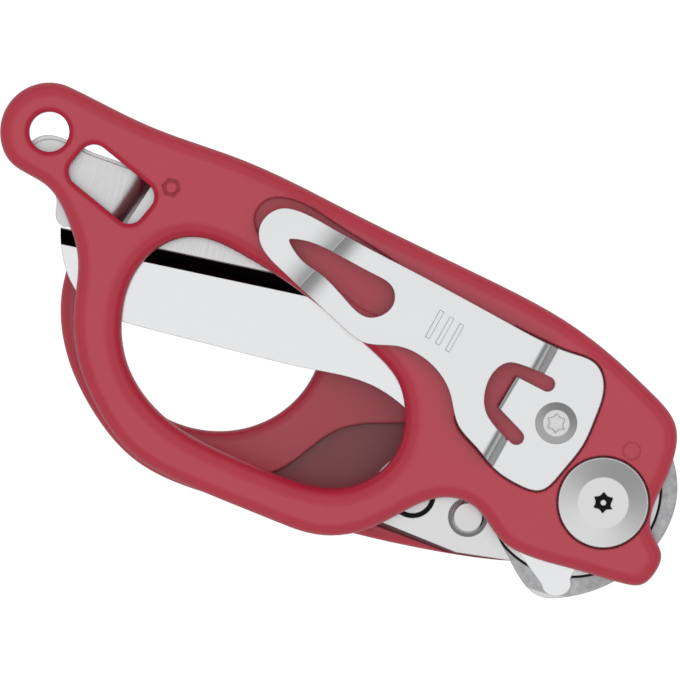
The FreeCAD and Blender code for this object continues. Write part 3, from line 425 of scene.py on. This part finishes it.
def red_nylon(name, floor=None):
    """Satin red nylon. floor is the height of a recess whose floor is painted darker as painted shade."""
    material, shader = blank_material(name, BRIGHT, 0.0, SKIN_ROUGH)
    tree = material.node_tree
    grain = place_group(material, "grain", Fine_Scale=5200.0, Slow_Scale=90.0)
    edges = place_group(material, "edges", Radius=0.5 * MM, Break=0.7)
    slow = mix_colours(material, grain.outputs["Slow"], DEEP, BRIGHT)
    worn = math_node(tree, "MULTIPLY", edges.outputs["Mask"], WEAR)
    colour = mix_colours(material, worn, slow, RUBBED)
    if floor is not None:
        # Painted shade: the recess floor is painted in the darker SHADED red.
        recess = place_group(material, "level", Low=floor - FLOOR_BAND, High=floor + FLOOR_BAND)
        colour = mix_colours(material, recess.outputs["Mask"], colour, SHADED)
    tree.links.new(colour, shader.inputs["Base Color"])
    shader.inputs["Specular IOR Level"].default_value = 0.85
    vary_roughness(material, shader, grain.outputs["Slow"], SKIN_ROUGH, 0.10)
    bump(material, shader, grain.outputs["Height"], 0.25, 0.03 * MM, edges.outputs["Normal"])
    return material


dress(red_nylon("rear_red_nylon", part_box("rear_lock_plate")[0].z), "rear_handle")
dress(red_nylon("front_red_nylon"), "front_handle")
print("handles dressed")

# %% [markdown]
# The blades are one steel with a polished flat, a ground bevel painted near black as a painted dark
# reflection, and on the rear tang a tumbled rim. Masks cut them out of the plan: the bevel's painted
# reflection is a strip beside the straight line of the cutting edge, and the rim is whatever lies far from
# the tang's centre.


# %% Steel finishes
POLISHED, DARK, DIM = (0.86, 0.865, 0.875), (0.012, 0.012, 0.014), (0.22, 0.22, 0.23)
STONE_DARK, STONE_PALE = (0.24, 0.24, 0.25), (0.66, 0.66, 0.67)
STREAK_DARK, STREAK_PALE = (0.62, 0.62, 0.63), (0.90, 0.90, 0.91)
EDGE_TIP, EDGE_HEEL = Vector((-95.8, -11.6, 0)) * MM, Vector((-46.5, 8.1, 0)) * MM
BEVEL_WIDE, BEVEL_SOFT = 2.6 * MM, 0.04 * MM
GLINT_IN, GLINT_OUT = 0.10 * MM, 0.22 * MM
RIM_CENTRE = (-5.3 * MM, -0.8 * MM, 0)
LINE_IN, LINE_OUT = 13.9 * MM, 14.0 * MM
RIM_IN, RIM_FULL, RIM_FADE, RIM_OUT = 14.3 * MM, 14.5 * MM, 17.2 * MM, 17.4 * MM


def strip_mask(material, start, along, wide):
    """1 inside a strip to the right of a line in the plan, 0 outside and on a thin glint at the line."""
    tree = material.node_tree
    place = tree.nodes.new("ShaderNodeTexCoord")
    away = tree.nodes.new("ShaderNodeVectorMath")
    away.operation = "SUBTRACT"
    away.inputs[1].default_value = start
    tree.links.new(place.outputs["Object"], away.inputs[0])
    across = tree.nodes.new("ShaderNodeVectorMath")
    across.operation = "DOT_PRODUCT"
    across.inputs[1].default_value = (along.y, -along.x, 0)
    tree.links.new(away.outputs[0], across.inputs[0])
    inside = ramp_between(tree, across.outputs["Value"], wide + BEVEL_SOFT, wide - BEVEL_SOFT)
    beyond = ramp_between(tree, across.outputs["Value"], GLINT_IN, GLINT_OUT)
    return math_node(tree, "MULTIPLY", inside, beyond)


def polished_steel(name, streak_angle, rough):
    """Bare steel with belt streaks at an angle in the plan, in radians."""
    material, shader = blank_material(name, POLISHED, 1.0, rough)
    streaks = place_group(material, "brushed", Angle=(0, 0, streak_angle), Stretch=(120, 5200, 120))
    edges = place_group(material, "edges", Radius=0.18 * MM, Break=0.2)
    vary_roughness(material, shader, streaks.outputs["Height"], rough, 0.10)
    bump(material, shader, streaks.outputs["Height"], 0.10, 0.01 * MM, edges.outputs["Normal"])
    return material, shader, streaks


def front_blade_steel():
    """Polished steel with a painted black reflection on the ground bevel along the straight edge."""
    material, shader, _ = polished_steel("front_blade_steel", -0.37, 0.10)
    # Painted reflection: the ground bevel is painted near black, with a thin glint of plain steel at the
    # edge.
    painted_dark_reflection = strip_mask(material, EDGE_TIP, (EDGE_HEEL - EDGE_TIP).normalized(), BEVEL_WIDE)
    colour = mix_colours(material, painted_dark_reflection, POLISHED, DARK)
    material.node_tree.links.new(colour, shader.inputs["Base Color"])
    return material


def rear_blade_steel():
    """Brushed steel; round the tang a tumbled rim, with a thin dark line inside it."""
    material, shader, streaks = polished_steel("rear_blade_steel", 1.25, 0.22)
    tree = material.node_tree
    far = place_group(material, "turned", Centre=RIM_CENTRE).outputs["Radius"]
    past = ramp_between(tree, far, RIM_IN, RIM_FULL)
    rim = math_node(tree, "MULTIPLY", past, ramp_between(tree, far, RIM_OUT, RIM_FADE))
    stone = place_group(material, "grain", Fine_Scale=900.0, Slow_Scale=260.0)
    mottled = mix_colours(material, stone.outputs["Height"], STONE_DARK, STONE_PALE)
    brushed = mix_colours(material, streaks.outputs["Height"], STREAK_DARK, STREAK_PALE)
    colour = mix_colours(material, rim, brushed, mottled)
    before = math_node(tree, "SUBTRACT", 1.0, past)
    line = math_node(tree, "MULTIPLY", ramp_between(tree, far, LINE_IN, LINE_OUT), before)
    tree.links.new(mix_colours(material, line, colour, DARK), shader.inputs["Base Color"])
    return material


def plain_steel(name, colour, rough, angle):
    """Steel of one colour that drifts a little darker in places."""
    material, shader, _ = polished_steel(name, angle, rough)
    grain = place_group(material, "grain", Fine_Scale=2400.0, Slow_Scale=70.0)
    tint = mix_colours(material, grain.outputs["Slow"], colour, tuple(c * 0.93 for c in colour))
    material.node_tree.links.new(tint, shader.inputs["Base Color"])
    return material


dress(front_blade_steel(), "front_blade")
dress(rear_blade_steel(), "rear_blade")
dress(plain_steel("clip_steel", POLISHED, 0.12, -0.09), "pocket_clip")
dress(plain_steel("spring_steel", (0.55, 0.56, 0.58), 0.30, 0.0), "rear_lock_spring", "front_lock_spring")
print("blades, clip and springs dressed")

# %% [markdown]
# Screws, nut, buttons, bushes and washers come off a lathe, so their fine rings run round their own
# axis. What lies deep gets painted shade: the pivot's socket is painted black, the button's flange down its
# hole is painted dim, and the ring cut round each plate screw is painted dark. Those are masks by the
# distance from the axis and by the height.


# %% Turned metals
SCREW_STEEL, BRONZE, BRASS = (0.80, 0.80, 0.81), (0.66, 0.42, 0.19), (0.78, 0.60, 0.27)
SOCKET_RAD, SOCKET_DROP, FLANGE_IN = 1.75 * MM, 0.16 * MM, 2.56 * MM
RING_OUT, RING_FULL = 3.62 * MM, 3.57 * MM
MASK_SOFT, DROP_SOFT = 0.05 * MM, 0.06 * MM


def turned_metal(name, colour, rough, centre, socket=None, flange=None):
    """Metal with lathe rings round its own axis.

    socket is a radius and a height: inside that radius and below that height the metal is painted black as
    painted shade.
    flange is a radius beyond which it is painted dim as painted shade, for faces that lie down a hole.
    """
    material, shader = blank_material(name, colour, 1.0, rough)
    tree = material.node_tree
    rings = place_group(material, "turned", Centre=centre, Pitch=9000.0)
    if socket:
        split = tree.nodes.new("ShaderNodeSeparateXYZ")
        place = tree.nodes.new("ShaderNodeTexCoord")
        tree.links.new(place.outputs["Object"], split.inputs[0])
        within = ramp_between(tree, rings.outputs["Radius"], socket[0], socket[0] - MASK_SOFT)
        below = ramp_between(tree, split.outputs["Z"], socket[1], socket[1] - DROP_SOFT)
        # Painted shade: the pivot's socket is painted black.
        painted_socket_shade = math_node(tree, "MULTIPLY", within, below)
        tree.links.new(mix_colours(material, painted_socket_shade, colour, DARK), shader.inputs["Base Color"])
    if flange:
        # Painted shade: the flange down the button's hole is painted dim.
        beyond = ramp_between(tree, rings.outputs["Radius"], flange, flange + MASK_SOFT)
        tree.links.new(mix_colours(material, beyond, colour, DIM), shader.inputs["Base Color"])
    edges = place_group(material, "edges", Radius=0.2 * MM, Break=0.2)
    vary_roughness(material, shader, rings.outputs["Height"], rough, 0.12)
    bump(material, shader, rings.outputs["Height"], 0.12, 0.01 * MM, edges.outputs["Normal"])
    return material


def middle_of(name):
    """The plan centre of a node's box."""
    low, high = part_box(name)
    centre = (low + high) / 2
    return (centre.x, centre.y, 0)


def lock_plate_steel(side):
    """Polished steel with a dark ring of painted shade in the gap round the plate's screw."""
    material, shader, _ = polished_steel(side + "_plate_steel", 0.4, 0.20)
    far = place_group(material, "turned", Centre=middle_of(side + "_plate_screw")).outputs["Radius"]
    # Painted shade: the gap round the plate's screw is painted dark.
    painted_gap_shade = ramp_between(material.node_tree, far, RING_OUT, RING_FULL)
    colour = mix_colours(material, painted_gap_shade, SCREW_STEEL, DARK)
    material.node_tree.links.new(colour, shader.inputs["Base Color"])
    return material


socket = (SOCKET_RAD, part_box("pivot_screw")[1].z - SOCKET_DROP)
dress(turned_metal("pivot_screw_steel", SCREW_STEEL, 0.20, middle_of("pivot_screw"), socket=socket),
      "pivot_screw")
for side in ("rear", "front"):
    button = side + "_lock_button"
    dress(turned_metal(side + "_button_steel", SCREW_STEEL, 0.24, middle_of(button), flange=FLANGE_IN),
          button)
    dress(lock_plate_steel(side), side + "_lock_plate")
for names, kind, colour, rough in (
        (("clip_screw", "pivot_nut", "rear_plate_screw", "front_plate_screw"), "_steel", SCREW_STEEL, 0.24),
        (("rear_washer", "front_washer", "rear_pivot_bush", "front_pivot_bush"), "_bronze", BRONZE, 0.32),
        (("rear_plate_insert", "front_plate_insert", "clip_insert"), "_brass", BRASS, 0.30)):
    for name in names:
        dress(turned_metal(name + kind, colour, rough, middle_of(name)), name)
print("materials:", len(bpy.data.materials))
